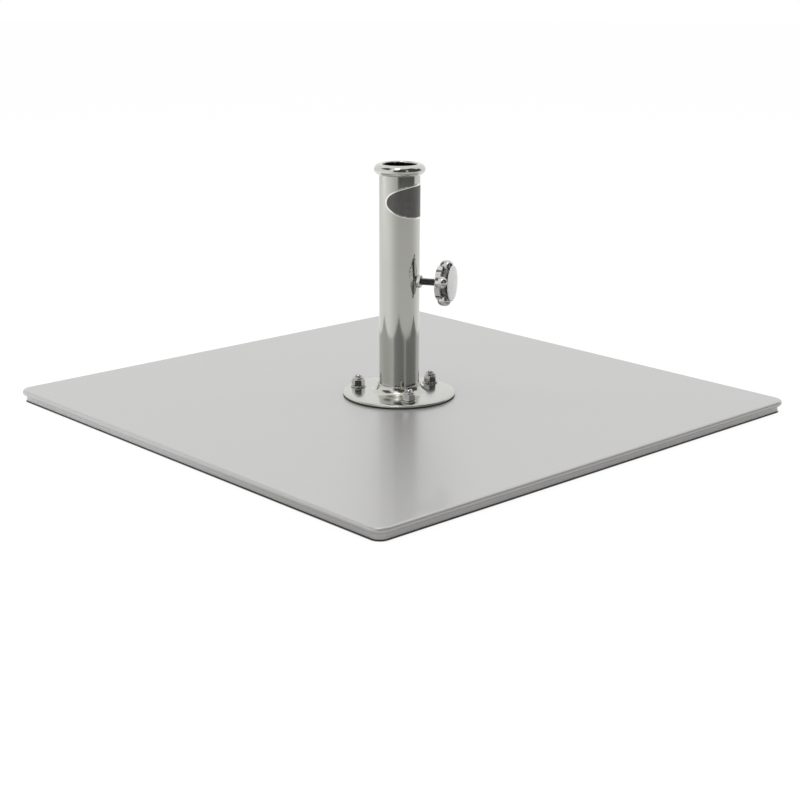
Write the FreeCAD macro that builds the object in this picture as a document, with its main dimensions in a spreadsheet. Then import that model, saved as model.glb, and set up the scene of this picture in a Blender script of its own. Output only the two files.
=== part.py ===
import FreeCAD, Part
import math
import os
import Sketcher

# A square parasol base. Origin: middle of the footprint, on the ground. +Z is up and the plate's
# sides run along X and Y. The clamp screw, the tube's side hole and the badge all face clamp_turn.

DRIVING_SIZES = (
    ("plate_side", 609.6, "side of the cover plate"),
    ("plate_corner", 14.0, "corner radius of the cover plate, seen from above"),
    ("plate_overhang", 4.2, "how far the cover plate stands out past the ballast plate"),
    ("cover_thick", 6.35, "thickness of the cover plate"),
    ("cover_edge", 3.0, "rounding of the cover plate's upper and lower edges"),
    ("ballast_thick", 6.35, "thickness of the ballast plate"),
    ("ballast_edge", 0.6, "rounding of the ballast plate's edges"),
    ("drain_radius", 6.0, "drain hole in the middle of both plates"),
    ("pad_radius", 20.0, "rubber foot pad"),
    ("pad_thick", 1.0, "rubber foot pad"),
    ("pad_inset", 45.0, "plate side to pad centre"),
    ("corner_inset", 90.0, "plate side to corner screw"),
    ("corner_screw_radius", 3.0, "M6 countersunk screw"),
    ("corner_head_radius", 5.8, "M6 countersunk screw's head"),
    ("corner_screw_long", 10.0, "M6 countersunk screw, head included"),
    ("corner_hole_deep", 4.6, "blind hole in the cover plate"),
    ("corner_hole", 3.3, "clearance hole for M6"),
    ("corner_socket", 4.0, "M6 screw's hexagon socket, across flats"),
    ("screw_point", 0.6, "chamfer at the end of a screw"),
    ("head_land", 0.3, "straight edge of a countersunk head"),
    ("head_sunk", 0.5, "countersunk heads stand this far inside the ballast plate"),
    ("gasket_thick", 1.0, "gasket under the flange"),
    ("gasket_radius", 62.2, "gasket under the flange"),
    ("gasket_bore", 20.2, "gasket under the flange"),
    ("flange_radius", 62.5, "stem flange"),
    ("flange_thick", 4.0, "stem flange at its rim"),
    ("flange_round", 2.6, "rounding of the flange's upper edge"),
    ("hub_radius", 23.7, "flange hub at its top"),
    ("hub_rise", 7.5, "flange hub above the flange"),
    ("hub_flare", 7.0, "concave radius from hub to flange"),
    ("tube_radius", 22.225, "stem tube, outside"),
    ("bore_radius", 19.175, "stem tube, inside"),
    ("stem_top", 271.4, "top of the rim above the ground"),
    ("rim_radius", 27.8, "rim ring, outside"),
    ("rim_tall", 11.8, "rim ring, bottom to top"),
    ("rim_step", 4.2, "end of the tube below the top of the rim"),
    ("rim_nose", 5.0, "rounding of the rim ring's outer edges"),
    ("rim_lip", 2.2, "rounding of the rim ring's mouth"),
    ("weld_rise", 1.5, "weld bead above the hub"),
    ("bolt_ring", 48.0, "bolt circle radius of the flange"),
    ("bolt_turn", 90.0, "direction of the first flange screw, degrees from +X"),
    ("bolt_count", 3, "flange screws"),
    ("bolt_radius", 4.0, "M8 countersunk screw"),
    ("bolt_hole", 4.3, "clearance hole for M8"),
    ("bolt_head", 7.8, "M8 countersunk screw's head"),
    ("bolt_long", 31.0, "M8 countersunk screw, head included"),
    ("bolt_socket", 5.0, "M8 screw's hexagon socket, across flats"),
    ("washer_radius", 8.5, "washer"),
    ("washer_thick", 1.6, "washer"),
    ("nut_flats", 13.0, "M8 lock nut, across flats"),
    ("nut_hex_tall", 6.5, "M8 lock nut, hexagon"),
    ("nut_collar_tall", 3.0, "M8 lock nut, round collar above the hexagon"),
    ("nut_collar_radius", 6.0, "M8 lock nut, round collar"),
    ("insert_radius", 4.9, "nylon ring in the lock nut's collar"),
    ("insert_tall", 2.0, "nylon ring in the lock nut's collar"),
    ("insert_sunk", 0.4, "nylon ring below the top of the collar"),
    ("nut_chamfer", 0.9, "chamfer of a nut's corners, along its axis"),
    ("clamp_height", 143.7, "clamp screw's axis above the ground"),
    ("clamp_turn", 30.0, "direction of the clamp screw, degrees from +X"),
    ("clamp_thread", 4.0, "M8 clamp screw"),
    ("clamp_play", 0.05, "radial play of the clamp screw in its nut"),
    ("clamp_nut_wrap", 1.4, "depth to which the clamp nut's seat wraps the tube"),
    ("clamp_nut_face", 25.2, "outer face of the clamp nut, from the stem's axis"),
    ("wall_hole", 4.4, "hole through the tube's wall"),
    ("tip_start", 19.5, "face of the clamp tip, from the stem's axis"),
    ("tip_radius", 3.4, "clamp tip"),
    ("tip_long", 2.2, "clamp tip"),
    ("spigot_radius", 1.8, "end of the clamp screw inside the tip"),
    ("spigot_long", 1.5, "end of the clamp screw inside the tip"),
    ("spigot_gap", 0.05, "play round the spigot"),
    ("knob_start", 41.3, "knob's hub, from the stem's axis"),
    ("knob_hub_radius", 6.4, "knob's hub, at its narrow end"),
    ("knob_hub_long", 3.7, "flare of the knob's hub"),
    ("knob_thick", 15.0, "lobed part of the knob"),
    ("knob_skirt", 19.0, "knob's back, behind the hollows"),
    ("knob_skirt_long", 6.0, "knob's back, along the screw"),
    ("knob_core", 16.0, "knob between its lobes"),
    ("knob_lobe_ring", 18.5, "centres of the knob's lobes"),
    ("knob_lobe", 6.5, "radius of a lobe"),
    ("knob_lobes", 4, "lobes"),
    ("knob_lobe_turn", 77.0, "first lobe, degrees"),
    ("knob_valley", 3.0, "rounding between a lobe and the core"),
    ("knob_edge", 6.0, "rounding of the lobes' ends"),
    ("cap_radius", 19.5, "disc on the knob's face"),
    ("cap_edge", 1.0, "straight edge of the disc"),
    ("cap_rise", 2.8, "crown of the disc above the lobes' ends"),
    ("cap_round", 0.8, "rounding of the disc's outer edge"),
    ("cap_boss", 10.0, "boss on the disc's back, sunk in the knob"),
    ("cap_recess", 1.0, "boss on the disc's back, depth"),
    ("badge_high", 232.0, "middle of the badge above the ground"),
    ("badge_long", 90.0, "badge, measured round the tube"),
    ("badge_tall", 38.4, "badge"),
    ("badge_thick", 0.6, "badge"),
)

CORNER_SIGNS = ((1, 1), (-1, 1), (-1, -1), (1, -1))
ROUNDING = 1e-4

# Heights of the stack, as expressions on the sheet.
BALLAST_BASE = "Sizes.pad_thick"
COVER_BASE = BALLAST_BASE + " + Sizes.ballast_thick"
COVER_TOP = COVER_BASE + " + Sizes.cover_thick"
FLANGE_BASE = COVER_TOP + " + Sizes.gasket_thick"
FLANGE_TOP = FLANGE_BASE + " + Sizes.flange_thick"
HUB_TOP = FLANGE_TOP + " + Sizes.hub_rise"
WASHER_TOP = FLANGE_TOP + " + Sizes.washer_thick"

# Heights above the foot of a lock nut.
NUT_TALL = "Sizes.nut_hex_tall + Sizes.nut_collar_tall"
INSERT_FOOT = NUT_TALL + " - Sizes.insert_sunk - Sizes.insert_tall"

# Distances along the clamp screw, from the stem's axis.
KNOB_BACK = "Sizes.knob_start + Sizes.knob_hub_long"
KNOB_FACE = KNOB_BACK + " + Sizes.knob_thick"
CAP_SEAT = KNOB_FACE + " - Sizes.cap_recess"

doc = FreeCAD.newDocument("parasol_base")
sheet = doc.addObject("Spreadsheet::Sheet", "Sizes")
for row, (alias, number, meaning) in enumerate(DRIVING_SIZES, 1):
    sheet.set("A%d" % row, alias)
    sheet.set("B%d" % row, str(number))
    sheet.set("C%d" % row, meaning)
    sheet.setAlias("B%d" % row, alias)
doc.recompute()

sub_parts = []


def value(expression):
    """The number that an expression on the sheet gives now."""
    return float(sheet.evalExpression(str(expression)))


def size(alias):
    return value("Sizes." + alias)


# ---------------------------------------------------------------- sketches and features

def new_body(label, base="0"):
    """An empty body whose own Z = 0 stands at the given height."""
    body = doc.addObject("PartDesign::Body", label)
    body.Label = label
    body.setExpression("Placement.Base.z", base)
    sub_parts.append(body)
    return body


def new_sketch(body, role="XY_Plane", offset="0"):
    """A sketch on one of the body's origin planes, moved along the plane's normal."""
    plane = next(item for item in body.Origin.OriginFeatures if item.Role == role)
    sketch = body.newObject("Sketcher::SketchObject", body.Label + "_sketch")
    sketch.AttachmentSupport = (plane, [""])
    sketch.MapMode = "FlatFace"
    sketch.setExpression("AttachmentOffset.Base.z", offset)
    return sketch


def pin_point(sketch, item, point, place):
    """Hold a point of a sketch item at (x, y), both bound to the sheet."""
    for kind, expression in zip(("DistanceX", "DistanceY"), place):
        rule = Sketcher.Constraint(kind, -1, 1, item, point, value(expression))
        sketch.setExpression("Constraints[%d]" % sketch.addConstraint(rule), expression)


def left_arc(start, end, radius):
    """The short arc from start to end that runs anticlockwise."""
    chord = end - start
    left = FreeCAD.Vector(-chord.y, chord.x, 0).normalize()
    centre = (start + end) * 0.5 + left * math.sqrt(radius ** 2 - (chord.Length / 2) ** 2)
    angles = [math.atan2(point.y - centre.y, point.x - centre.x) for point in (start, end)]
    return Part.ArcOfCircle(Part.Circle(centre, FreeCAD.Vector(0, 0, 1), radius), *angles)


def add_outline(sketch, corners, first_radius=None):
    """A closed outline through the corners; its first side may be an anticlockwise arc."""
    places = [FreeCAD.Vector(value(across), value(up), 0) for across, up in corners]
    first = sketch.GeometryCount
    last = first + len(corners) - 1
    for side, (start, end) in enumerate(zip(places, places[1:] + places[:1])):
        if side == 0 and first_radius:
            shape = left_arc(start, end, value(first_radius))
        else:
            shape = Part.LineSegment(start, end)
        sketch.addGeometry(shape, False)
    for side, corner in enumerate(corners, first):
        before = side - 1 if side > first else last
        sketch.addConstraint(Sketcher.Constraint("Coincident", before, 2, side, 1))
        pin_point(sketch, side, 1, corner)
    if first_radius:
        rule = Sketcher.Constraint("Radius", first, value(first_radius))
        sketch.setExpression("Constraints[%d]" % sketch.addConstraint(rule), first_radius)


def add_circle(sketch, radius, across="0", up="0"):
    centre = FreeCAD.Vector(value(across), value(up), 0)
    shape = Part.Circle(centre, FreeCAD.Vector(0, 0, 1), value(radius))
    item = sketch.addGeometry(shape, False)
    rule = Sketcher.Constraint("Radius", item, value(radius))
    sketch.setExpression("Constraints[%d]" % sketch.addConstraint(rule), radius)
    pin_point(sketch, item, 3, (across, up))


def add_hexagon(sketch, flats, first_corner=0):
    """A regular hexagon about the origin, with its first corner this many degrees from X."""
    corners = []
    for step in range(6):
        angle = "%d deg" % (60 * step + first_corner)
        corners.append(("(%s) / sqrt(3) * cos(%s)" % (flats, angle),
                        "(%s) / sqrt(3) * sin(%s)" % (flats, angle)))
    add_outline(sketch, corners)


def pad(body, sketch, length):
    feature = body.newObject("PartDesign::Pad", body.Label + "_pad")
    feature.Profile = sketch
    feature.setExpression("Length", length)
    doc.recompute()
    return feature


def pocket(body, sketch, length, upward=True):
    """Cut along the sketch's normal when upward, and against it when not."""
    feature = body.newObject("PartDesign::Pocket", body.Label + "_pocket")
    feature.Profile = sketch
    feature.Reversed = upward
    feature.setExpression("Length", length)
    solid_before = feature.BaseFeature.Shape.Volume
    doc.recompute()
    if feature.Shape.Volume > solid_before - ROUNDING:
        raise RuntimeError(body.Label + ": a pocket cuts nothing")
    return feature


def turn(body, corners, first_radius=None):
    """Turn an outline of (radius, height) corners about the body's Z axis."""
    sketch = new_sketch(body, "XZ_Plane")
    add_outline(sketch, corners, first_radius)
    feature = body.newObject("PartDesign::Revolution", body.Label + "_turned")
    feature.Profile = sketch
    feature.ReferenceAxis = (sketch, ["V_Axis"])
    feature.Angle = 360
    doc.recompute()
    return feature


def turn_away(body, corners):
    """Cut a turned outline of (radius, height) corners out of the body."""
    sketch = new_sketch(body, "XZ_Plane")
    add_outline(sketch, corners)
    feature = body.newObject("PartDesign::Groove", body.Label + "_groove")
    feature.Profile = sketch
    feature.ReferenceAxis = (sketch, ["V_Axis"])
    feature.Angle = 360
    solid_before = feature.BaseFeature.Shape.Volume
    doc.recompute()
    if feature.Shape.Volume > solid_before - ROUNDING:
        raise RuntimeError(body.Label + ": a groove cuts nothing")
    return feature


def around(body, feature, count):
    """Repeat a feature round the body's Z axis."""
    pattern = body.newObject("PartDesign::PolarPattern", body.Label + "_pattern")
    pattern.Originals = [feature]
    pattern.Axis = (feature.Profile[0], ["N_Axis"])
    pattern.Angle = 360
    pattern.setExpression("Occurrences", count)
    body.Tip = pattern
    doc.recompute()
    return pattern


def edges(feature, test):
    """Names of the feature's edges that pass the test, the pole of a dome left aside."""
    numbered = enumerate(feature.Shape.Edges, 1)
    return ["Edge%d" % number for number, edge in numbered if not edge.Degenerated and test(edge)]


def round_off(body, feature, names, radius, kind="Fillet"):
    """Fillet or chamfer the named edges of the body's last feature."""
    if not names:
        raise RuntimeError(body.Label + ": no edge to round off")
    rounded = body.newObject("PartDesign::" + kind, body.Label + "_edge")
    rounded.Base = (feature, names)
    rounded.setExpression("Radius" if kind == "Fillet" else "Size", radius)
    doc.recompute()
    return rounded


def is_ring(edge, radius, height):
    """Whether an edge is a circle about the body's Z axis with this radius and height."""
    if not isinstance(edge.Curve, Part.Circle):
        return False
    centre = edge.Curve.Center
    off_axis = math.hypot(centre.x, centre.y)
    return max(off_axis, abs(edge.Curve.Radius - radius), abs(centre.z - height)) < ROUNDING


def lies_at(edge, height):
    box = edge.BoundBox
    return max(abs(box.ZMin - height), abs(box.ZMax - height)) < ROUNDING


def is_upright(edge):
    box = edge.BoundBox
    return max(box.XLength, box.YLength) < ROUNDING < box.ZLength


def stand_at(body, across, along):
    body.setExpression("Placement.Base.x", across)
    body.setExpression("Placement.Base.y", along)


def clamp_body(label):
    """A body whose own Z axis lies along the clamp screw, from the stem's axis outward."""
    body = new_body(label, "Sizes.clamp_height")
    level = FreeCAD.Rotation(FreeCAD.Vector(0, 1, 0), 90)
    turned = FreeCAD.Rotation(FreeCAD.Vector(0, 0, 1), size("clamp_turn"))
    body.Placement.Rotation = turned.multiply(level)
    return body


# ---------------------------------------------------------------- plates

def square_outline(half):
    return [("%d * (%s)" % (across, half), "%d * (%s)" % (along, half))
            for across, along in CORNER_SIGNS]


def rounded_plate(label, base, half, thick, corner, edge):
    body = new_body(label, base)
    sketch = new_sketch(body)
    add_outline(sketch, square_outline(half))
    plate = pad(body, sketch, thick)
    plate = round_off(body, plate, edges(plate, is_upright), corner)
    rim = edges(plate, lambda item: lies_at(item, 0) or lies_at(item, value(thick)))
    round_off(body, plate, rim, edge)
    return body


def bolt_holes(body, thick):
    """The flange screws' clearance holes, through a piece that starts at the body's Z = 0."""
    sketch = new_sketch(body)
    add_circle(sketch, "Sizes.bolt_hole", "Sizes.bolt_ring * cos(Sizes.bolt_turn * 1 deg)",
               "Sizes.bolt_ring * sin(Sizes.bolt_turn * 1 deg)")
    return around(body, pocket(body, sketch, thick), "Sizes.bolt_count")


def corner_places(inset):
    half = "(Sizes.plate_side / 2 - %s)" % inset
    return [("%d * %s" % (across, half), "%d * %s" % (along, half)) for across, along in CORNER_SIGNS]


def corner_holes(body, radius, depth):
    sketch = new_sketch(body)
    for across, along in corner_places("Sizes.corner_inset"):
        add_circle(sketch, radius, across, along)
    return pocket(body, sketch, depth)


def drain_hole(body, thick):
    sketch = new_sketch(body)
    add_circle(sketch, "Sizes.drain_radius")
    return pocket(body, sketch, thick)


def build_cover_plate():
    body = rounded_plate("cover_plate", COVER_BASE, "Sizes.plate_side / 2", "Sizes.cover_thick",
                         "Sizes.plate_corner", "Sizes.cover_edge")
    bolt_holes(body, "Sizes.cover_thick")
    corner_holes(body, "Sizes.corner_screw_radius", "Sizes.corner_hole_deep")
    drain_hole(body, "Sizes.cover_thick")


def countersink(body, feature, hole, head):
    """Widen the screw holes' lower mouths to 90 degrees, so that the heads sit inside them."""
    def is_mouth(edge):
        return (isinstance(edge.Curve, Part.Circle) and lies_at(edge, 0)
                and abs(edge.Curve.Radius - value(hole)) < ROUNDING)
    widening = "%s + Sizes.head_land + Sizes.head_sunk - %s" % (head, hole)
    return round_off(body, feature, edges(feature, is_mouth), widening, "Chamfer")


def build_ballast_plate():
    body = rounded_plate("ballast_plate", BALLAST_BASE, "Sizes.plate_side / 2 - Sizes.plate_overhang",
                         "Sizes.ballast_thick", "Sizes.plate_corner - Sizes.plate_overhang",
                         "Sizes.ballast_edge")
    bolt_holes(body, "Sizes.ballast_thick")
    corner_holes(body, "Sizes.corner_hole", "Sizes.ballast_thick")
    drilled = drain_hole(body, "Sizes.ballast_thick")
    drilled = countersink(body, drilled, "Sizes.bolt_hole", "Sizes.bolt_head")
    countersink(body, drilled, "Sizes.corner_hole", "Sizes.corner_head_radius")


def build_foot_pads():
    for number, (across, along) in enumerate(corner_places("Sizes.pad_inset"), 1):
        body = new_body("foot_pad_%d" % number)
        stand_at(body, across, along)
        sketch = new_sketch(body)
        add_circle(sketch, "Sizes.pad_radius")
        pad(body, sketch, "Sizes.pad_thick")


# ---------------------------------------------------------------- screws, washers and nuts

def countersunk_screw(label, radius, head, length, socket):
    """A countersunk screw standing on its head, with a hexagon socket in the head."""
    body = new_body(label, BALLAST_BASE + " + Sizes.head_sunk")
    land = "Sizes.head_land"
    point = "Sizes.screw_point"
    turn(body, [("0", "0"), (head, "0"), (head, land), (radius, "%s + %s - %s" % (land, head, radius)),
                (radius, "%s - %s" % (length, point)), ("%s - %s" % (radius, point), length),
                ("0", length)])
    sketch = new_sketch(body)
    add_hexagon(sketch, socket)
    pocket(body, sketch, "%s / 2" % socket)
    return body


def build_corner_screws():
    for number, (across, along) in enumerate(corner_places("Sizes.corner_inset"), 1):
        body = countersunk_screw("corner_screw_%d" % number, "Sizes.corner_screw_radius",
                                 "Sizes.corner_head_radius", "Sizes.corner_screw_long",
                                 "Sizes.corner_socket")
        stand_at(body, across, along)


def at_bolt(body, number):
    """Move a body to its place on the bolt circle."""
    angle = "(Sizes.bolt_turn + %d * 360 / Sizes.bolt_count) * 1 deg" % number
    stand_at(body, "Sizes.bolt_ring * cos(%s)" % angle, "Sizes.bolt_ring * sin(%s)" % angle)


def ring(body, inner, outer, thick):
    sketch = new_sketch(body)
    add_circle(sketch, outer)
    add_circle(sketch, inner)
    return pad(body, sketch, thick)


def chamfer_corners(body, flats, height, way):
    """Turn the corners of a hexagon down to a 30 degree cone at one end, way +1 up or -1 down."""
    reach = "(%s) / sqrt(3) + 1" % flats
    drop = "(%s) - %d * ((%s) - (%s) * 0.475) * tan(30 deg)" % (height, way, reach, flats)
    turn_away(body, [("(%s) * 0.475" % flats, height), (reach, height), (reach, drop)])


def build_lock_nut(number):
    body = new_body("flange_nut_%d" % (number + 1), WASHER_TOP)
    sketch = new_sketch(body)
    add_hexagon(sketch, "Sizes.nut_flats")
    pad(body, sketch, "Sizes.nut_hex_tall")
    chamfer_corners(body, "Sizes.nut_flats", "Sizes.nut_hex_tall", 1)
    chamfer_corners(body, "Sizes.nut_flats", "0", -1)
    sketch = new_sketch(body, offset="Sizes.nut_hex_tall")
    add_circle(sketch, "Sizes.nut_collar_radius")
    collar = pad(body, sketch, "Sizes.nut_collar_tall")
    shoulder = edges(collar, lambda item: is_ring(item, size("nut_collar_radius"), value(NUT_TALL)))
    round_off(body, collar, shoulder, "Sizes.nut_chamfer")
    sketch = new_sketch(body)
    add_circle(sketch, "Sizes.bolt_radius")
    pocket(body, sketch, NUT_TALL)
    sketch = new_sketch(body, offset=INSERT_FOOT)
    add_circle(sketch, "Sizes.insert_radius")
    pocket(body, sketch, "Sizes.insert_tall + Sizes.insert_sunk")
    at_bolt(body, number)


def build_nut_insert(number):
    body = new_body("nut_insert_%d" % (number + 1), WASHER_TOP + " + " + INSERT_FOOT)
    ring(body, "Sizes.bolt_radius", "Sizes.insert_radius", "Sizes.insert_tall")
    at_bolt(body, number)


def build_flange_fasteners():
    for number in range(int(size("bolt_count"))):
        screw = countersunk_screw("flange_screw_%d" % (number + 1), "Sizes.bolt_radius",
                                  "Sizes.bolt_head", "Sizes.bolt_long", "Sizes.bolt_socket")
        at_bolt(screw, number)
        washer = new_body("flange_washer_%d" % (number + 1), FLANGE_TOP)
        ring(washer, "Sizes.bolt_hole", "Sizes.washer_radius", "Sizes.washer_thick")
        at_bolt(washer, number)
        build_lock_nut(number)
        build_nut_insert(number)


# ---------------------------------------------------------------- stem

def build_gasket():
    body = new_body("flange_gasket", COVER_TOP)
    ring(body, "Sizes.gasket_bore", "Sizes.gasket_radius", "Sizes.gasket_thick")
    bolt_holes(body, "Sizes.gasket_thick")


def build_flange():
    body = new_body("stem_flange", FLANGE_BASE)
    hub_top = "Sizes.flange_thick + Sizes.hub_rise"
    plate = turn(body, [("Sizes.tube_radius", "0"), ("Sizes.flange_radius", "0"),
                        ("Sizes.flange_radius", "Sizes.flange_thick"),
                        ("Sizes.hub_radius", "Sizes.flange_thick"), ("Sizes.hub_radius", hub_top),
                        ("Sizes.tube_radius", hub_top)])
    root = edges(plate, lambda item: is_ring(item, size("hub_radius"), size("flange_thick")))
    plate = round_off(body, plate, root, "Sizes.hub_flare")
    rim = edges(plate, lambda item: is_ring(item, size("flange_radius"), size("flange_thick")))
    round_off(body, plate, rim, "Sizes.flange_round")
    bolt_holes(body, "Sizes.flange_thick")


def face_clamp(body):
    """Turn a body of the stem so that its own +X looks along the clamp screw."""
    body.Placement.Rotation = FreeCAD.Rotation(FreeCAD.Vector(0, 0, 1), size("clamp_turn"))


def build_tube():
    body = new_body("stem_tube", FLANGE_BASE)
    face_clamp(body)
    long = "Sizes.stem_top - Sizes.rim_step - (%s)" % FLANGE_BASE
    ring(body, "Sizes.bore_radius", "Sizes.tube_radius", long)
    sketch = new_sketch(body, "YZ_Plane")
    add_circle(sketch, "Sizes.wall_hole", "0", "Sizes.clamp_height - (%s)" % FLANGE_BASE)
    pocket(body, sketch, "Sizes.tube_radius + 1")


def build_rim():
    body = new_body("stem_rim", "Sizes.stem_top - Sizes.rim_tall")
    step = "Sizes.rim_tall - Sizes.rim_step"
    collar = turn(body, [("Sizes.tube_radius", "0"), ("Sizes.rim_radius", "0"),
                         ("Sizes.rim_radius", "Sizes.rim_tall"), ("Sizes.bore_radius", "Sizes.rim_tall"),
                         ("Sizes.bore_radius", step), ("Sizes.tube_radius", step)])
    nose = edges(collar, lambda item: is_ring(item, size("rim_radius"), 0)
                 or is_ring(item, size("rim_radius"), size("rim_tall")))
    collar = round_off(body, collar, nose, "Sizes.rim_nose")
    lip = edges(collar, lambda item: is_ring(item, size("bore_radius"), size("rim_tall")))
    round_off(body, collar, lip, "Sizes.rim_lip")


def build_weld():
    body = new_body("stem_weld", HUB_TOP)
    turn(body, [("Sizes.tube_radius", "0"), ("Sizes.hub_radius", "0"),
                ("Sizes.hub_radius - 0.2", "Sizes.weld_rise * 0.6"),
                ("Sizes.tube_radius", "Sizes.weld_rise")])


def build_badge():
    """A thin oval wrapped round the tube: an ellipse drawn on the unrolled cylinder."""
    feature = doc.addObject("Part::Feature", "badge_plate")
    feature.Label = "badge_plate"
    wall = Part.Cylinder()
    wall.Radius = size("tube_radius")
    half_angle = size("badge_long") / 2 / size("tube_radius")
    middle = FreeCAD.Base.Vector2d(0, 0)
    tall_end = FreeCAD.Base.Vector2d(0, size("badge_tall") / 2)
    long_end = FreeCAD.Base.Vector2d(half_angle, 0)
    oval = Part.Geom2d.Ellipse2d(tall_end, long_end, middle)
    skin = Part.Face(wall, Part.Wire(oval.toShape(wall)))
    feature.Shape = skin.makeOffsetShape(size("badge_thick"), ROUNDING, fill=True)
    feature.Placement = FreeCAD.Placement(FreeCAD.Vector(0, 0, size("badge_high")),
                                          FreeCAD.Rotation(FreeCAD.Vector(0, 0, 1), size("clamp_turn")))
    sub_parts.append(feature)


# ---------------------------------------------------------------- clamp screw

def build_clamp_nut():
    """A thin hexagon nut whose inner face is hollowed to sit on the tube."""
    body = clamp_body("clamp_nut")
    start = "(Sizes.tube_radius - Sizes.clamp_nut_wrap)"
    sketch = new_sketch(body, offset=start)
    add_hexagon(sketch, "Sizes.nut_flats", 30)
    pad(body, sketch, "Sizes.clamp_nut_face - " + start)
    chamfer_corners(body, "Sizes.nut_flats", "Sizes.clamp_nut_face", 1)
    sketch = new_sketch(body, "YZ_Plane", "-Sizes.nut_flats")
    add_circle(sketch, "Sizes.tube_radius")
    pocket(body, sketch, "2 * Sizes.nut_flats")
    sketch = new_sketch(body)
    add_circle(sketch, "Sizes.clamp_thread + Sizes.clamp_play")
    pocket(body, sketch, "Sizes.clamp_nut_face + 1")


def build_clamp_screw():
    body = clamp_body("clamp_screw")
    spigot_start = "Sizes.tip_start + Sizes.tip_long - Sizes.spigot_long + 0.1"
    shoulder = "Sizes.tip_start + Sizes.tip_long + 0.1"
    turn(body, [("0", spigot_start), ("Sizes.spigot_radius", spigot_start),
                ("Sizes.spigot_radius", shoulder), ("Sizes.clamp_thread - 0.7", shoulder),
                ("Sizes.clamp_thread", "(%s) + 0.7" % shoulder),
                ("Sizes.clamp_thread", CAP_SEAT), ("0", CAP_SEAT)])


def build_clamp_tip():
    body = clamp_body("clamp_tip")
    back = "Sizes.tip_start + Sizes.tip_long"
    floor = "(%s) - Sizes.spigot_long" % back
    socket = "Sizes.spigot_radius + Sizes.spigot_gap"
    turn(body, [("0", "Sizes.tip_start"), ("Sizes.tip_radius - 0.5", "Sizes.tip_start"),
                ("Sizes.tip_radius", "Sizes.tip_start + 0.5"), ("Sizes.tip_radius", back),
                (socket, back), (socket, floor), ("0", floor)])


def build_clamp_knob():
    """A core with rounded lobes, and a hub that flares out behind the hollows."""
    body = clamp_body("clamp_knob")
    sketch = new_sketch(body, offset=KNOB_BACK)
    add_circle(sketch, "Sizes.knob_core")
    pad(body, sketch, "Sizes.knob_thick")
    sketch = new_sketch(body, offset=KNOB_BACK)
    add_circle(sketch, "Sizes.knob_lobe", "Sizes.knob_lobe_ring * cos(Sizes.knob_lobe_turn * 1 deg)",
               "Sizes.knob_lobe_ring * sin(Sizes.knob_lobe_turn * 1 deg)")
    star = around(body, pad(body, sketch, "Sizes.knob_thick"), "Sizes.knob_lobes")
    star = round_off(body, star, edges(star, is_upright), "Sizes.knob_valley")
    ends = edges(star, lambda edge: lies_at(edge, value(KNOB_BACK)) or lies_at(edge, value(KNOB_FACE)))
    round_off(body, star, ends, "Sizes.knob_edge")
    skirt_end = KNOB_BACK + " + Sizes.knob_skirt_long"
    turn(body, [("0", "Sizes.knob_start"), ("Sizes.knob_hub_radius", "Sizes.knob_start"),
                ("Sizes.knob_skirt", KNOB_BACK), ("Sizes.knob_skirt", skirt_end),
                ("Sizes.knob_core - 1", skirt_end + " + 2"), ("0", skirt_end + " + 2")])
    sketch = new_sketch(body)
    add_circle(sketch, "Sizes.clamp_thread")
    pocket(body, sketch, CAP_SEAT)
    sketch = new_sketch(body, offset=CAP_SEAT)
    add_circle(sketch, "Sizes.cap_boss")
    pocket(body, sketch, "Sizes.cap_recess")


def build_knob_cap():
    """A shallow domed disc over the ends of the lobes, with a boss on its back."""
    body = clamp_body("knob_cap")
    edge = KNOB_FACE + " + Sizes.cap_edge"
    crown = KNOB_FACE + " + Sizes.cap_rise"
    dome = "Sizes.cap_rise - Sizes.cap_edge"
    disc = turn(body, [("Sizes.cap_radius", edge), ("0", crown), ("0", CAP_SEAT),
                       ("Sizes.cap_boss", CAP_SEAT), ("Sizes.cap_boss", KNOB_FACE),
                       ("Sizes.cap_radius", KNOB_FACE)],
                "(Sizes.cap_radius ^ 2 + (%s) ^ 2) / 2 / (%s)" % (dome, dome))
    rim = edges(disc, lambda item: is_ring(item, size("cap_radius"), value(edge)))
    round_off(body, disc, rim, "Sizes.cap_round")


# ---------------------------------------------------------------- build, check and write

build_cover_plate()
build_ballast_plate()
build_foot_pads()
build_corner_screws()
build_gasket()
build_flange()
build_tube()
build_rim()
build_weld()
build_badge()
build_flange_fasteners()
build_clamp_nut()
build_clamp_screw()
build_clamp_tip()
build_clamp_knob()
build_knob_cap()
doc.recompute()

for item in doc.Objects:
    if {"Invalid", "Error"} & set(item.State):
        raise RuntimeError("%s did not compute" % item.Label)
for item in sub_parts:
    if item.Shape.isNull() or not item.Shape.isValid() or len(item.Shape.Solids) != 1:
        raise RuntimeError("%s is not one valid solid" % item.Label)

os.makedirs("parts", exist_ok=True)
for item in sub_parts:
    item.Shape.exportStep(os.path.join("parts", item.Label + ".step"))
    print("%-18s %12.1f mm3" % (item.Label, item.Shape.Volume))
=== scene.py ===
import math

import bpy
from mathutils import Matrix, Vector


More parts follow.
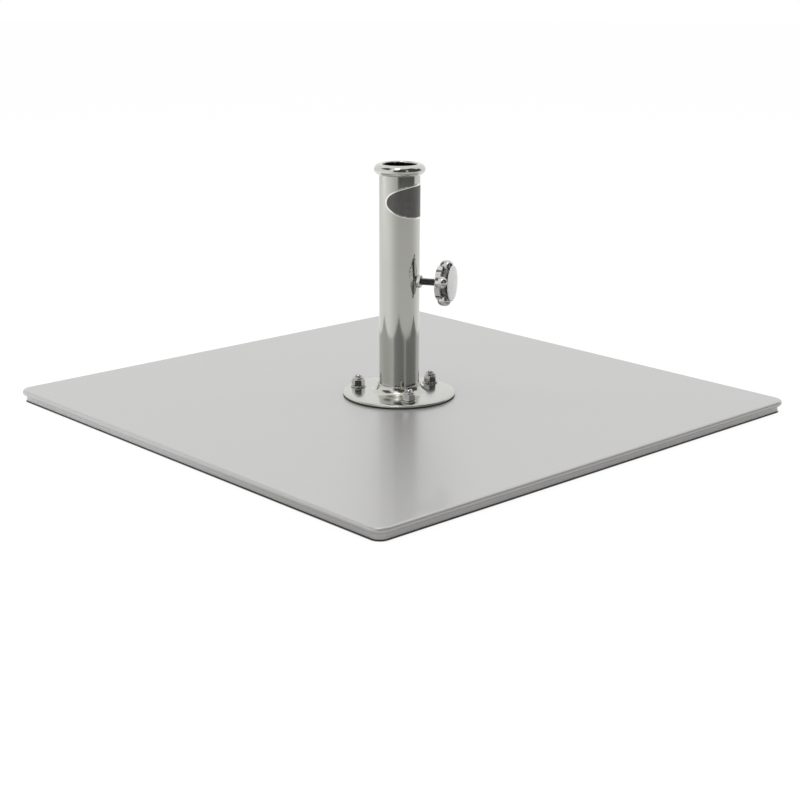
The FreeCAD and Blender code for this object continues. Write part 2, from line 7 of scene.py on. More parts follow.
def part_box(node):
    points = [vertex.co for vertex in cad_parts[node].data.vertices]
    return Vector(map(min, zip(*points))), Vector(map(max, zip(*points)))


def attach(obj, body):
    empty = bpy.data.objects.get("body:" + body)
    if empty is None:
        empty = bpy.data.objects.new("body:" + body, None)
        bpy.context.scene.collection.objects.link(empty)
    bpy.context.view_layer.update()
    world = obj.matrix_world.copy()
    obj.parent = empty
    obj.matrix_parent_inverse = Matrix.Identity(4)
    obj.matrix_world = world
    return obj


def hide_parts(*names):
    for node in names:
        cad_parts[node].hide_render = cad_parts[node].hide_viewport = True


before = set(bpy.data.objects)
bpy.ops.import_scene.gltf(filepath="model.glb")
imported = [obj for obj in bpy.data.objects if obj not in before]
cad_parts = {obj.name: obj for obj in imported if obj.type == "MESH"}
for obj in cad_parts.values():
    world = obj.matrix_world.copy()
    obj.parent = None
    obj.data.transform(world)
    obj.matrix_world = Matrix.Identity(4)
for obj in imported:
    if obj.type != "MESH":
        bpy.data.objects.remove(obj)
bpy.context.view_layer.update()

MM = 0.001
TURN = 2 * math.pi


# ---------------------------------------------------------------- places, from the CAD boxes

def low(node):
    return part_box(node)[0] / MM


def high(node):
    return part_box(node)[1] / MM


def middle(node):
    return (low(node) + high(node)) / 2


BALLAST_HALF = high("ballast_plate").x
BALLAST_CORNER = 9.8
FLANGE_FOOT = low("stem_flange").z
FLANGE_RADIUS = high("flange_gasket").x + 0.3
TUBE_RADIUS = high("stem_tube").x
TUBE_TOP = high("stem_tube").z
RIM_TOP = high("stem_rim").z
BORE_RADIUS = 19.175
FLANGE_TOP = FLANGE_FOOT + 4.0
BOLTS = [middle("flange_washer_%d" % number) for number in (1, 2, 3)]
HUB_RADIUS = 23.7
HUB_TOP = low("stem_weld").z
CLAMP_HEIGHT = middle("clamp_screw").z
CLAMP_TURN = math.atan2(middle("clamp_screw").y, middle("clamp_screw").x)

# M8 sizes, shared by the flange's fasteners and the clamp screw.
THREAD_PITCH = 1.25
THREAD_CREST = 3.95
NUT_FLATS = 13.0
NUT_BORE = 4.05

# Local +Z of the clamp pieces runs along the screw, away from the stem's axis.
CLAMP_PLACE = (Matrix.Translation((0, 0, CLAMP_HEIGHT)) @ Matrix.Rotation(CLAMP_TURN, 4, "Z")
               @ Matrix.Rotation(math.radians(90), 4, "Y"))


# ---------------------------------------------------------------- meshes

def arc(centre_r, centre_z, radius_r, radius_z, start, end, steps):
    """Points of an elliptical arc in the (r, z) plane; angles in degrees from +r."""
    points = []
    for step in range(steps + 1):
        angle = math.radians(start + (end - start) * step / steps)
        points.append((centre_r + radius_r * math.cos(angle), centre_z + radius_z * math.sin(angle)))
    return points


def ring(radius, z, sides):
    """One ring of points; radius and z are numbers or functions of the angle."""
    if radius == 0:
        return [(0.0, 0.0, z)]
    points = []
    for side in range(sides):
        angle = TURN * side / sides
        r = radius(angle) if callable(radius) else radius
        height = z(angle) if callable(z) else z
        points.append((r * math.cos(angle), r * math.sin(angle), height))
    return points


def skin(rings, closed=False):
    """Points and faces of a skin over rings of points; a ring of one point is a pole."""
    points = [point for row in rings for point in row]
    starts = []
    total = 0
    for row in rings:
        starts.append(total)
        total += len(row)
    faces = []
    pairs = list(zip(range(len(rings) - 1), range(1, len(rings))))
    if closed:
        pairs.append((len(rings) - 1, 0))
    for lower, upper in pairs:
        count = max(len(rings[lower]), len(rings[upper]))
        for side in range(count):
            following = (side + 1) % count
            corners = []
            for row, steps in ((lower, (side, following)), (upper, (following, side))):
                if len(rings[row]) == 1:
                    corners.append(starts[row])
                else:
                    corners.extend(starts[row] + step for step in steps)
            faces.append(corners)
    return points, faces


def turned(outline, sides, closed=False):
    """Points and faces of an (r, z) outline turned about the z axis."""
    return skin([ring(r, z, sides) for r, z in outline], closed)


def make_piece(name, body, material, shape, stands_for, place=None, *, crease, bevel=0):
    """A piece built in millimetres that rides on a CAD body; edges over crease degrees stay sharp."""
    points, faces = shape
    place = place or Matrix.Identity(4)
    mesh = bpy.data.meshes.new(name)
    mesh.from_pydata([place @ Vector(point) * MM for point in points], [], faces)
    mesh.validate()
    mesh.shade_smooth()
    mesh.set_sharp_from_angle(angle=math.radians(crease))
    mesh.materials.append(material)
    piece = bpy.data.objects.new(name, mesh)
    bpy.context.scene.collection.objects.link(piece)
    if bevel:
        soften = piece.modifiers.new("soften", "BEVEL")
        soften.width = bevel * MM
        soften.segments = 2
        soften.limit_method = "ANGLE"
        soften.angle_limit = math.radians(crease)
        soften.harden_normals = True
    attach(piece, body)
    if stands_for:
        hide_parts(*stands_for)
    return piece


def at(x, y, z, spin=0.0):
    """A place on an upright axis, spun about it by some degrees."""
    return Matrix.Translation((x, y, z)) @ Matrix.Rotation(math.radians(spin), 4, "Z")


# ---------------------------------------------------------------- materials

class Graph:
    """Short ways to add nodes to an emptied node tree."""

    def __init__(self, tree):
        self.tree = tree
        tree.nodes.clear()

    def node(self, kind, inputs=(), **settings):
        """A new node; inputs maps a socket's name or number to a value or another node's output."""
        made = self.tree.nodes.new(kind)
        for name, value in settings.items():
            setattr(made, name, value)
        for socket, value in dict(inputs).items():
            if isinstance(value, bpy.types.NodeSocket):
                self.tree.links.new(value, made.inputs[socket])
            else:
                made.inputs[socket].default_value = value
        return made

    def math(self, operation, first, second):
        return self.node("ShaderNodeMath", {0: first, 1: second}, operation=operation).outputs[0]

    def mix(self, factor, first, second):
        made = self.node("ShaderNodeMix", {0: factor, 6: first, 7: second}, data_type="RGBA")
        return made.outputs[2]

    def remap(self, value, from_low, from_high, to_low, to_high, smooth=False):
        made = self.node("ShaderNodeMapRange",
                         {"Value": value, "From Min": from_low, "From Max": from_high,
                          "To Min": to_low, "To Max": to_high})
        if smooth:
            made.interpolation_type = "SMOOTHSTEP"
        return made.outputs[0]

    def sector(self, flat, middle, half, soft):
        """1 where a level unit vector is within half degrees of the middle bearing; soft borders."""
        aim = (math.cos(math.radians(middle)), math.sin(math.radians(middle)), 0)
        near = self.node("ShaderNodeVectorMath", {0: flat, 1: aim}, operation="DOT_PRODUCT")
        return self.remap(near.outputs["Value"], math.cos(math.radians(half + soft)),
                          math.cos(math.radians(half - soft)), 0, 1, True)

    def level(self, vector):
        """A vector's level part, made one unit long."""
        flat = self.node("ShaderNodeVectorMath", {0: vector, 1: (1, 1, 0)}, operation="MULTIPLY")
        return self.node("ShaderNodeVectorMath", {0: flat.outputs[0]}, operation="NORMALIZE").outputs[0]


class Finish(Graph):
    """A material built from nodes around one Principled shader."""

    def __init__(self, name, **constants):
        self.material = bpy.data.materials.new(name)
        self.material.use_nodes = True
        super().__init__(self.material.node_tree)
        self.output = self.node("ShaderNodeOutputMaterial")
        self.shader = self.node("ShaderNodeBsdfPrincipled")
        self.tree.links.new(self.shader.outputs[0], self.output.inputs[0])
        for socket, value in constants.items():
            self.shader.inputs[socket.replace("_", " ")].default_value = value
        self.place = self.node("ShaderNodeTexCoord").outputs["Object"]

    def noise(self, scale, detail=2.0, stretch=(1, 1, 1), roughness=0.5):
        """Noise of about this many features per metre, stretched along the axes."""
        where = self.node("ShaderNodeMapping", {"Vector": self.place, "Scale": stretch}).outputs[0]
        made = self.node("ShaderNodeTexNoise", {"Vector": where, "Scale": scale, "Detail": detail,
                                                "Roughness": roughness})
        return made.outputs[0]

    def bump(self, height, distance, strength=1.0, under=None):
        inputs = {"Height": height, "Distance": distance * MM, "Strength": strength}
        if under is not None:
            inputs["Normal"] = under
        return self.node("ShaderNodeBump", inputs).outputs[0]

    def outside_square(self, straight, corner, soft):
        """0 inside a rounded square about the origin, 1 past a soft border; sizes in mm."""
        away = self.node("ShaderNodeVectorMath", {0: self.place}, operation="ABSOLUTE").outputs[0]
        past = self.node("ShaderNodeVectorMath", {0: away, 1: (straight * MM, straight * MM, 1)},
                         operation="SUBTRACT").outputs[0]
        past = self.node("ShaderNodeVectorMath", {0: past, 1: (0, 0, 0)}, operation="MAXIMUM").outputs[0]
        reach = self.node("ShaderNodeVectorMath", {0: past}, operation="LENGTH").outputs["Value"]
        return self.remap(reach, corner * MM, (corner + soft) * MM, 0, 1, True)

    def set(self, socket, value):
        self.tree.links.new(value, self.shader.inputs[socket])


def grey(level, warm=0.0):
    """A grey; warm is the share added to its red and taken from its blue."""
    return (level * (1 + warm), level, level * (1 - warm), 1.0)


def steel(level):
    """The faintly yellow-green grey of polished stainless steel."""
    return (level, level * 1.002, level * 0.935, 1.0)


EVEN_GRAIN = (1, 1, 1)
DRAWN_GRAIN = (1, 1, 0.04)


def polished_steel(name, level, roughness, grain):
    """Polished steel with fine grain lines, faint smudges and slight waves in its surface."""
    finish = Finish(name, Metallic=1.0)
    lines = finish.noise(900, 3, grain)
    smudge = finish.noise(28, 4, roughness=0.6)
    blotch = finish.noise(9, 2)
    finish.set("Base Color", finish.mix(finish.remap(blotch, 0.3, 0.7, 0, 1),
                                        steel(level * 0.97), steel(level * 1.03)))
    rough = finish.remap(lines, 0.3, 0.7, roughness * 0.8, roughness * 1.25)
    finish.set("Roughness", finish.math("ADD", rough, finish.remap(smudge, 0.5, 0.75, 0, 0.05)))
    waves = finish.bump(finish.noise(55, 1), 0.004)
    finish.set("Normal", finish.bump(lines, 0.0012, 0.6, waves))
    return finish.material


def powder_coat(name, level):
    """Silver powder coat with orange peel and flakes, rubbed brighter at edges that don't face up."""
    finish = Finish(name, Metallic=0.7, Coat_Weight=0.32, Coat_Roughness=0.08, Coat_IOR=1.4)
    peel = finish.noise(420, 2)
    fine = finish.noise(1900, 2)
    cloud = finish.noise(5, 3)
    flake = finish.remap(fine, 0.55, 0.75, 0, 1)
    body = finish.mix(finish.remap(cloud, 0.35, 0.65, 0, 1), grey(level * 0.998, 0.006),
                      grey(level * 1.002, 0.008))
    coat = finish.mix(finish.math("MULTIPLY", flake, 0.03), body, grey(level * 1.25))
    shape = finish.node("ShaderNodeNewGeometry").outputs
    facing_up = finish.node("ShaderNodeSeparateXYZ", {0: shape["Normal"]}).outputs["Z"]
    worn = finish.math("MULTIPLY", finish.remap(shape["Pointiness"], 0.53, 0.60, 0, 0.35),
                       finish.remap(facing_up, 0.90, 0.99, 1, 0))
    scuff = finish.remap(finish.noise(60, 4), 0.45, 0.62, 0.2, 1)
    finish.set("Base Color", finish.mix(finish.math("MULTIPLY", worn, scuff), coat, grey(level * 1.3)))
    finish.set("Roughness", finish.remap(peel, 0.3, 0.7, 0.375, 0.405))
    finish.set("Normal", finish.bump(fine, 0.0003, 0.5, finish.bump(peel, 0.0006, 0.5)))
    return finish.material


def fixing_steel(name, level=0.50, roughness=0.20):
    """Plain steel of screws and nuts, with painted shade darkening its hollows."""
    finish = Finish(name, Metallic=1.0)
    grain = finish.noise(1400, 3)
    stain = finish.noise(160, 3)
    # Painted shade: low Pointiness marks the hollows, which are darkened.
    painted_shade = finish.remap(finish.node("ShaderNodeNewGeometry").outputs["Pointiness"], 0.40, 0.52, 1, 0)
    bare = finish.mix(finish.remap(stain, 0.35, 0.65, 0, 1), grey(level * 0.9, 0.02),
                      grey(level * 1.08, 0.01))
    # The painted shade mixes in a darker grey.
    finish.set("Base Color", finish.mix(painted_shade, bare, grey(level * 0.45, 0.05)))
    finish.set("Roughness", finish.remap(grain, 0.3, 0.7, roughness * 0.8, roughness * 1.4))
    finish.set("Normal", finish.bump(grain, 0.004, 0.5))
    return finish.material


def weld_steel(name):
    finish = Finish(name, Metallic=1.0)
    stain = finish.noise(120, 3)
    heat = finish.mix(finish.remap(stain, 0.35, 0.65, 0, 1), (0.62, 0.60, 0.55, 1), (0.52, 0.49, 0.46, 1))
    finish.set("Base Color", heat)
    finish.set("Roughness", finish.remap(finish.noise(900, 3), 0.3, 0.7, 0.12, 0.26))
    finish.set("Normal", finish.bump(finish.noise(1200, 2), 0.01, 0.5))
    return finish.material


def chrome(name):
    """Bright plating with painted shade in the hollows between the knob's lobes, which lie near its axis.
    """
    finish = Finish(name, Metallic=1.0)
    axis = (math.cos(CLAMP_TURN), math.sin(CLAMP_TURN), 0)
    place = finish.node("ShaderNodeVectorMath", {0: finish.place, 1: (0, 0, CLAMP_HEIGHT * MM)},
                        operation="SUBTRACT").outputs[0]
    along = finish.node("ShaderNodeVectorMath", {0: place, 1: axis},
                        operation="DOT_PRODUCT").outputs["Value"]
    inward = finish.node("ShaderNodeVectorMath", {0: axis, "Scale": along}, operation="SCALE").outputs[0]
    off = finish.node("ShaderNodeVectorMath", {0: place, 1: inward}, operation="SUBTRACT").outputs[0]
    reach = finish.node("ShaderNodeVectorMath", {0: off}, operation="LENGTH").outputs["Value"]
    # Mask of the painted shade: near the knob's axis, in its lobed part.
    near_axis = finish.remap(reach, 16.4 * MM, 18.4 * MM, 1, 0, True)
    lobed_part = finish.remap(along, 50.0 * MM, 51.5 * MM, 0, 1, True)
    painted_shade = finish.math("MULTIPLY", near_axis, lobed_part)
    waves = finish.noise(140, 1)
    smudge = finish.noise(70, 4)
    clean = finish.mix(finish.remap(smudge, 0.3, 0.7, 0, 1), grey(0.62, 0.01), grey(0.68, 0.005))
    # Painted shade: the hollows are darkened to a dark grey.
    finish.set("Base Color", finish.mix(painted_shade, clean, grey(0.15, 0.04)))
    finish.set("Roughness", finish.remap(smudge, 0.45, 0.75, 0.035, 0.11))
    finish.set("Normal", finish.bump(waves, 0.02, 0.6))
    return finish.material


def gloss_cap(name, level):
    finish = Finish(name, Metallic=0.0)
    mottle = finish.noise(90, 3)
    finish.set("Base Color", finish.mix(finish.remap(mottle, 0.3, 0.7, 0, 1), grey(level * 0.97, 0.008),
                                        grey(level * 1.03, 0.008)))
    finish.set("Roughness", finish.remap(finish.noise(600, 2), 0.3, 0.7, 0.20, 0.28))
    finish.set("Normal", finish.bump(finish.noise(800, 2), 0.003, 0.5))
    return finish.material


def enamel(name):
    finish = Finish(name, Metallic=0.0)
    mottle = finish.noise(160, 4)
    finish.set("Base Color", finish.mix(finish.remap(mottle, 0.3, 0.7, 0, 1), grey(0.065, 0.02),
                                        grey(0.09, 0.03)))
    finish.set("Roughness", finish.remap(mottle, 0.3, 0.7, 0.28, 0.40))
    finish.set("Normal", finish.bump(finish.noise(900, 2), 0.01, 0.6))
    return finish.material


def rubber(name):
    finish = Finish(name, Metallic=0.0)
    dust = finish.noise(350, 4)
    finish.set("Base Color", finish.mix(finish.remap(dust, 0.5, 0.75, 0, 1), grey(0.018), grey(0.06)))
    finish.set("Roughness", finish.remap(dust, 0.3, 0.7, 0.65, 0.85))
    finish.set("Normal", finish.bump(finish.noise(1500, 2), 0.02, 0.6))
    return finish.material


def nylon(name):
    finish = Finish(name, Metallic=0.0)
    mottle = finish.noise(500, 3)
    finish.set("Base Color", finish.mix(finish.remap(mottle, 0.3, 0.7, 0, 1), grey(0.55, 0.03),
                                        grey(0.65, 0.02)))
    finish.set("Roughness", finish.remap(mottle, 0.3, 0.7, 0.35, 0.5))
    return finish.material


def brass(name):
    finish = Finish(name, Metallic=1.0)
    tarnish = finish.noise(500, 4)
    finish.set("Base Color", finish.mix(finish.remap(tarnish, 0.35, 0.65, 0, 1), (0.60, 0.42, 0.16, 1),
                                        (0.78, 0.58, 0.27, 1)))
    finish.set("Roughness", finish.remap(tarnish, 0.3, 0.7, 0.18, 0.34))
    finish.set("Normal", finish.bump(finish.noise(2500, 2), 0.005, 0.5))
    return finish.material


TUBE_STEEL = polished_steel("tube_steel", 0.53, 0.07, DRAWN_GRAIN)
FLANGE_STEEL = polished_steel("flange_steel", 0.59, 0.16, EVEN_GRAIN)
RIM_STEEL = polished_steel("rim_steel", 0.62, 0.05, EVEN_GRAIN)
BORDER_STEEL = polished_steel("border_steel", 0.88, 0.22, EVEN_GRAIN)
PLATE_COAT = powder_coat("plate_coat", 0.525)
FIXING_STEEL = fixing_steel("fixing_steel")
NUT_STEEL = fixing_steel("nut_steel", 0.60, 0.10)
THREAD_STEEL = fixing_steel("thread_steel", 0.20, 0.26)
STUD_STEEL = fixing_steel("stud_steel", 0.60, 0.18)
ZINC = fixing_steel("zinc", 0.52, 0.30)
WELD_STEEL = weld_steel("weld_steel_bead")
CHROME = chrome("knob_chrome_finish")
CAP = gloss_cap("cap_finish", 0.62)
ENAMEL = enamel("badge_enamel_finish")
RUBBER = rubber("rubber_finish")
NYLON = nylon("nylon_finish")
BRASS = brass("brass_finish")


def refinish(material, *nodes):
    """Give CAD nodes that keep their own shape a better material."""
    for name in nodes:
        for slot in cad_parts[name].material_slots:
            slot.material = material


# ---------------------------------------------------------------- plates and stem

def build_stem():
    refinish(PLATE_COAT, "cover_plate", "ballast_plate")
    refinish(RUBBER, "flange_gasket", *["foot_pad_%d" % number for number in (1, 2, 3, 4)])
    refinish(ZINC, *["corner_screw_%d" % number for number in (1, 2, 3, 4)])
    refinish(TUBE_STEEL, "stem_tube")

    # The turned pieces stand just clear of the tube, so no two surfaces coincide.
    inside = TUBE_RADIUS + 0.02
    underside_round = 1.8
    outline = [(inside, FLANGE_FOOT)]
    outline += arc(FLANGE_RADIUS - underside_round, FLANGE_FOOT + underside_round,
                   underside_round, underside_round, -90, 0, 9)
    # A low curve softens the upper edge, and a hollow one leads up to the hub.
    outline += arc(FLANGE_RADIUS - 5.0, FLANGE_TOP - 2.15, 5.0, 2.0, 0, 80, 20)
    outline += [(45.0, FLANGE_TOP)]
    outline += arc(33.0, FLANGE_TOP + 9.0, 9.3, 9.0, 270, 187, 20)
    outline += [(HUB_RADIUS, HUB_TOP), (inside, HUB_TOP)]
    make_piece("flange", "base", FLANGE_STEEL, turned(outline, 160, True),
               ["stem_flange"], crease=50)

    def bead(angle):
        """Radius of the weld's round section, rippled along its length."""
        ripple = 0.10 * math.sin(61 * angle) + 0.07 * math.sin(23 * angle + 1.3)
        return 0.95 + ripple
    rings = []
    for step in range(13):
        turn = math.radians(-80 + 220 * step / 12)
        rings.append(ring(lambda a, t=turn: TUBE_RADIUS + 0.55 + bead(a) * math.cos(t),
                          lambda a, t=turn: HUB_TOP + 0.35 + bead(a) * math.sin(t), 360))
    make_piece("weld_bead", "base", WELD_STEEL, skin(rings), ["stem_weld"], crease=80)

    outline = [(BORE_RADIUS, TUBE_TOP), (BORE_RADIUS, RIM_TOP - 1.6)]
    outline += arc(BORE_RADIUS + 1.3, RIM_TOP - 1.6, 1.3, 1.5, 180, 100, 8)
    outline += arc(21.3, RIM_TOP - 5.9, 6.5, 5.9, 88, -82, 40)
    outline += [(inside, RIM_TOP - 11.75), (inside, TUBE_TOP)]
    make_piece("rim", "base", RIM_STEEL, turned(outline, 128, True),
               ["stem_rim"], crease=60)


# ---------------------------------------------------------------- screws, nuts and washers

ROD_SIDES = 36
NUT_SIDES = 72


def thread_radius(z, angle):
    """Radius of a right-hand 60 degree thread with flattened crests and roots."""
    phase = (z / THREAD_PITCH - angle / TURN) % 1
    rise = abs(2 * phase - 1)
    flat = 0.12
    depth = 0.61 * THREAD_PITCH
    return THREAD_CREST - depth * min(max((rise - flat) / (1 - 2 * flat), 0), 1)


def threaded_rings(start, end, fade_start=True, fade_end=True):
    """Rings of a threaded rod, with the thread running out at its ends."""
    rings_per_turn = 8
    end_radius = THREAD_CREST - 0.9
    count = round((end - start) / THREAD_PITCH * rings_per_turn)
    rings = []
    for step in range(count + 1):
        z = start + (end - start) * step / count
        limit = THREAD_CREST
        if fade_start:
            limit = min(limit, end_radius + (z - start))
        if fade_end:
            limit = min(limit, end_radius + (end - z))
        rings.append(ring(lambda a, z=z, m=limit: min(thread_radius(z, a), m), z, ROD_SIDES))
    return rings


def hexagon(flats):
    """Radius of a hexagon as a function of the angle, its first corner at angle 0."""
    def radius(angle):
        off_flat = angle % (TURN / 6) - TURN / 12
        return flats / 2 / math.cos(off_flat)
    return radius


def hex_nut_rings(bottom, top, two_chamfers=True):
    """Rings of a nut whose corners are turned down to 30 degree cones."""
    hexed = hexagon(NUT_FLATS)
    face = NUT_FLATS * 0.475
    slope = math.tan(math.radians(30))
    lower = (lambda a: bottom + (hexed(a) - face) * slope) if two_chamfers else bottom
    rings = [ring(NUT_BORE, bottom, NUT_SIDES)]
    if two_chamfers:
        rings.append(ring(face, bottom, NUT_SIDES))
    rings.append(ring(hexed, lower, NUT_SIDES))
    rings.append(ring(hexed, lambda a: top - (hexed(a) - face) * slope, NUT_SIDES))
    rings.append(ring(face, top, NUT_SIDES))
    return rings


def build_flange_fasteners():
    screw_low = low("flange_screw_1").z
    screw_long = high("flange_screw_1").z - screw_low
    nut_foot = low("flange_nut_1").z
    nut_tall = high("flange_nut_1").z - nut_foot
    socket_flats = 5.0
    hexagon_tall = 7.0
    insert_foot = nut_tall - 2.4
    spins = (12.0, 47.0, 20.0)
    for number, (place, spin) in enumerate(zip(BOLTS, spins), 1):
        here = (place.x, place.y)

        # The head is at the bottom, with its socket open downwards.
        rings = [[(0, 0, 2.6)]]
        head = [(hexagon(socket_flats), 2.5), (hexagon(socket_flats), 0.0), (7.5, 0.0), (7.8, 0.3),
                (4.0, 4.1), (THREAD_CREST, 6.0)]
        rings += [ring(r, z, ROD_SIDES) for r, z in head]
        rings += threaded_rings(6.2, screw_long, fade_start=False)
        rings += [[(0, 0, screw_long)]]
        make_piece("flange_screw_detail_%d" % number, "base", STUD_STEEL,
                   skin(rings), ["flange_screw_%d" % number], at(*here, screw_low, spin), crease=50)

        outline = [(4.4, 0.0), (8.2, 0.0)] + arc(8.2, 0.3, 0.3, 0.3, -90, 0, 3)
        outline += arc(8.0, 1.1, 0.5, 0.5, 0, 90, 4) + [(4.9, 1.6), (4.4, 1.2)]
        make_piece("washer_detail_%d" % number, "base", FIXING_STEEL,
                   turned(outline, 72, True), ["flange_washer_%d" % number],
                   at(*here, low("flange_washer_1").z), crease=50)

        collar = [(6.3, hexagon_tall)] + arc(5.5, nut_tall - 0.8, 0.8, 0.8, 0, 90, 6)
        collar += [(4.9, nut_tall), (4.9, insert_foot), (NUT_BORE, insert_foot)]
        rings = hex_nut_rings(0.0, hexagon_tall)
        rings += [ring(r, z, NUT_SIDES) for r, z in collar]
        make_piece("nut_detail_%d" % number, "base", NUT_STEEL,
                   skin(rings, True), ["flange_nut_%d" % number],
                   at(*here, nut_foot, spin), crease=25, bevel=0.12)

    refinish(NYLON, *["nut_insert_%d" % number for number in (1, 2, 3)])


# ---------------------------------------------------------------- badge

def build_badge():
    """An oval plate wrapped round the tube: a dark field inside a raised bright border."""
    centre = middle("badge_plate").z
    long_half = 45.0
    tall_half = (high("badge_plate").z - low("badge_plate").z) / 2
    border = 2.0
    field_lift = 0.32
    field_steps = 24
    sides = 180

    def wrapped(along, up, lift):
        """A point over the tube's face, along it and up from the badge's middle."""
        turn = along / TUBE_RADIUS + CLAMP_TURN
        r = TUBE_RADIUS + lift
        return (r * math.cos(turn), r * math.sin(turn), centre + up)

    def oval(inset, lift, share=1.0):
        points = []
        for side in range(sides):
            angle = TURN * side / sides
            points.append(wrapped(share * (long_half - inset) * math.cos(angle),
                                  share * (tall_half - inset) * math.sin(angle), lift))
        return points

    rings = [[wrapped(0, 0, field_lift)]]
    rings += [oval(border, field_lift, step / field_steps) for step in range(1, field_steps + 1)]
    make_piece("badge_field", "base", ENAMEL, skin(rings), ["badge_plate"], crease=80)

    profile = [(border + 0.15, 0.30), (border + 0.10, 0.50), (border - 0.10, 0.60), (0.35, 0.60),
               (0.10, 0.50), (0.0, 0.30), (0.0, 0.02)]
    make_piece("badge_border", "base", BORDER_STEEL,
               skin([oval(inset, lift) for inset, lift in profile]), (), crease=80)


# ---------------------------------------------------------------- clamp screw

def build_clamp():
    nut_foot = 20.9
    nut_face = 25.2
    knob_start = 41.3
    spigot_end = 20.3
    thread_foot = 21.8
    rod_end = 56.5
    rings = hex_nut_rings(nut_foot, nut_face, two_chamfers=False)
    make_piece("clamp_nut_detail", "base", NUT_STEEL, skin(rings, True),
               ["clamp_nut"], CLAMP_PLACE @ Matrix.Rotation(math.radians(30), 4, "Z"),
               crease=25, bevel=0.15)

    spigot = [(1.8, spigot_end), (1.8, thread_foot), (3.3, thread_foot)]
    rings = [[(0, 0, spigot_end)]] + [ring(r, z, ROD_SIDES) for r, z in spigot]
    rings += threaded_rings(thread_foot + 0.6, knob_start + 0.8, fade_end=False)
    rings += [ring(3.2, z, ROD_SIDES) for z in (knob_start + 0.9, rod_end)]
    rings += [[(0, 0, rod_end)]]
    make_piece("clamp_thread", "thumbscrew", THREAD_STEEL, skin(rings),
               ["clamp_screw"], CLAMP_PLACE, crease=50)

    refinish(CHROME, "clamp_knob")
    refinish(CAP, "knob_cap")
    refinish(BRASS, "clamp_tip")


# ---------------------------------------------------------------- studio and camera

# The camera sees a white room. Glossy rays see a dark side with a bright strip in it and two dark
# flags, and every ray but the camera's sees painted shade on the floor, in grey and dark areas. Each
# of these is a bearing round from +X, a half width and the softness of its borders, in degrees.
DARK_SIDE = (-2.0, 70, 6)
RIGHT_FLAG = (0, 50, 6)
LEFT_FLAG = (-122, 26, 6)
BRIGHT_STRIP = (-8.7, 5, 2)
# The floor's two areas are painted shade.
FLOOR_PAINTED_HALF_SHADE = (-10.0, 62, 37)
FLOOR_PAINTED_DEEP_SHADE = (-2.0, 50, 6)


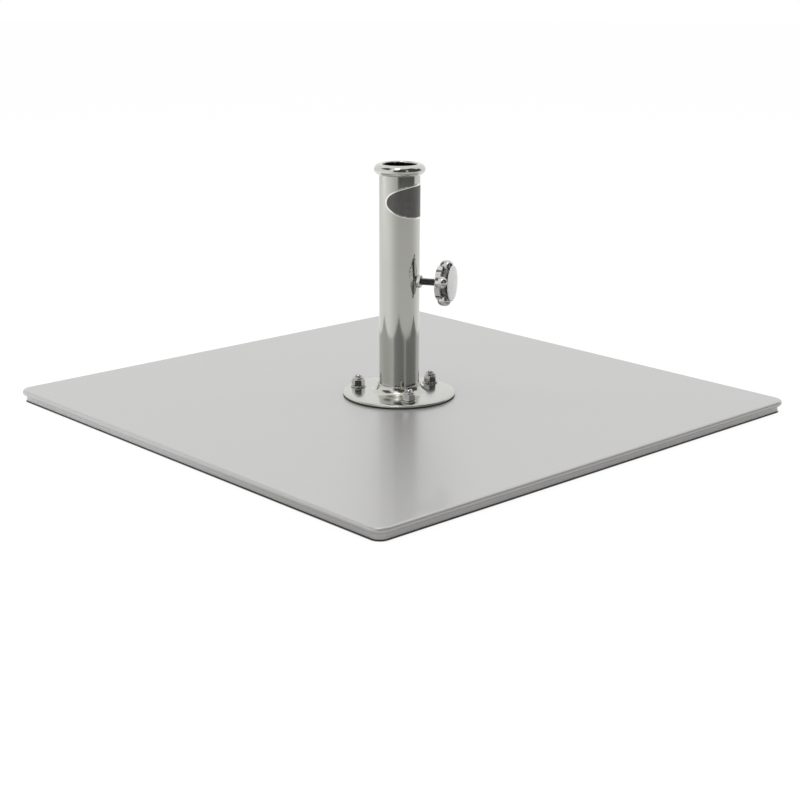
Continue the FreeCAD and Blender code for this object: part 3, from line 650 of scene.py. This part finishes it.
def build_studio():
    scene = bpy.context.scene
    scene.view_settings.view_transform = "Standard"
    scene.view_settings.look = "None"

    mesh = bpy.data.meshes.new("studio_floor")
    # The floor lies just under the foot pads.
    floor_level = -0.02
    points, faces = turned([(0, floor_level), (9000, floor_level)], 64)
    mesh.from_pydata([Vector(point) * MM for point in points], [], faces)
    floor = bpy.data.objects.new("studio_floor", mesh)
    scene.collection.objects.link(floor)
    paper = Finish("floor_paper", Roughness=0.9, Specular_IOR_Level=0.0)
    bearing = paper.level(paper.place)
    reach = paper.node("ShaderNodeVectorMath", {0: paper.place}, operation="LENGTH").outputs["Value"]
    far_off = paper.remap(reach, 1.52, 1.66, 0, 1, True)
    # Painted shade on the floor, seen by every ray but the camera's: grey in one sector, dark far off in
    # another.
    painted_deep_shade = paper.math("MULTIPLY", paper.sector(bearing, *FLOOR_PAINTED_DEEP_SHADE), far_off)
    reflected = paper.mix(paper.sector(bearing, *FLOOR_PAINTED_HALF_SHADE), grey(0.80), grey(0.52, 0.01))
    reflected = paper.mix(painted_deep_shade, reflected, grey(0.10))

    # The camera sees nearly white paper, with a painted shadow: a thin dark line round the ballast plate.
    clear = paper.outside_square(BALLAST_HALF - BALLAST_CORNER, BALLAST_CORNER + 0.4, 1.6)
    paper_with_painted_shadow = paper.mix(clear, grey(0.14), paper.mix(paper.noise(3), grey(0.96), grey(0.98)))
    camera_ray = paper.node("ShaderNodeLightPath").outputs["Is Camera Ray"]
    paper.set("Base Color", paper.mix(camera_ray, reflected, paper_with_painted_shadow))
    glow = paper.node("ShaderNodeEmission", {"Color": grey(1.0), "Strength": 1.0})
    # The glow is left off where the painted shadow lies.
    glowing = paper.math("MULTIPLY", camera_ray, paper.math("MULTIPLY", clear, 0.9))
    blend = paper.node("ShaderNodeMixShader",
                       {0: glowing, 1: paper.shader.outputs[0], 2: glow.outputs[0]})
    paper.tree.links.new(blend.outputs[0], paper.output.inputs[0])
    mesh.materials.append(paper.material)

    world = bpy.data.worlds.new("studio")
    scene.world = world
    world.use_nodes = True
    room = Graph(world.node_tree)
    output = room.node("ShaderNodeOutputWorld")
    way = room.node("ShaderNodeTexCoord").outputs["Generated"]
    flat = room.level(way)
    rise = room.node("ShaderNodeSeparateXYZ", {0: way}).outputs["Z"]
    below = room.remap(rise, 0.50, 0.62, 1, 0, True)
    ceiling = room.remap(rise, 0.85, 0.92, 1, 0, True)
    shelf = room.remap(rise, 0.45, 0.52, 0, 1, True)
    dark_side = room.math("MULTIPLY", below, room.sector(flat, *DARK_SIDE))
    right_flag = room.math("MULTIPLY", ceiling, room.sector(flat, *RIGHT_FLAG))
    left_flag = room.math("MULTIPLY", room.math("MULTIPLY", ceiling, shelf),
                          room.sector(flat, *LEFT_FLAG))
    dark = room.math("MAXIMUM", dark_side, room.math("MAXIMUM", right_flag, left_flag))
    strip = room.math("MULTIPLY", below, room.sector(flat, *BRIGHT_STRIP))
    tone = room.mix(dark, grey(0.95), grey(0.07, 0.02))
    tone = room.mix(strip, tone, grey(0.6))
    path = room.node("ShaderNodeLightPath")
    tone = room.mix(path.outputs["Is Glossy Ray"], grey(0.92), tone)
    tone = room.mix(path.outputs["Is Camera Ray"], tone, grey(1.0))
    sky = room.node("ShaderNodeBackground", {0: tone, 1: 1.0})
    room.tree.links.new(sky.outputs[0], output.inputs[0])

    def softbox(name, turn, height, distance, width, tall, power, mirrored=False):
        light = bpy.data.lights.new(name, "AREA")
        light.shape = "RECTANGLE"
        light.size = width
        light.size_y = tall
        light.energy = power
        lamp = bpy.data.objects.new(name, light)
        turn = math.radians(turn)
        lamp.location = (distance * math.cos(turn), distance * math.sin(turn), height)
        lamp.rotation_euler = (Vector((0, 0, 0.1)) - lamp.location).to_track_quat("-Z", "Y").to_euler()
        lamp.visible_camera = False
        lamp.visible_glossy = mirrored
        scene.collection.objects.link(lamp)

    softbox("overhead", 0, 2.2, 0.01, 2.4, 2.4, 14)
    softbox("side_left", -140, 1.0, 1.9, 0.8, 1.6, 8)
    softbox("side_right", 60, 1.1, 2.2, 0.35, 1.4, 5)
    softbox("key", -60, 1.9, 0.7, 0.5, 0.5, 2.5, mirrored=True)


def build_camera():
    turn = math.radians(47.24)
    rise = math.radians(16.06)
    distance = 1.8096
    target = Vector((-0.01606, 0.01640, 0.0))
    away = Vector((math.sin(turn) * math.cos(rise), -math.cos(turn) * math.cos(rise), math.sin(rise)))
    right = Vector((math.cos(turn), math.sin(turn), 0))
    upward = away.cross(right)
    roll = math.radians(0.197)
    level = right * math.cos(roll) + upward * math.sin(roll)
    upright = upward * math.cos(roll) - right * math.sin(roll)
    data = bpy.data.cameras.new("camera")
    data.lens = 71.66
    data.sensor_width = 36.0
    data.clip_end = 50
    camera = bpy.data.objects.new("camera", data)
    camera.matrix_world = Matrix.Translation(target + away * distance) @ Matrix(
        (level, upright, away)).transposed().to_4x4()
    bpy.context.scene.collection.objects.link(camera)
    bpy.context.scene.camera = camera


build_studio()
build_camera()
build_stem()
build_flange_fasteners()
build_badge()
build_clamp()
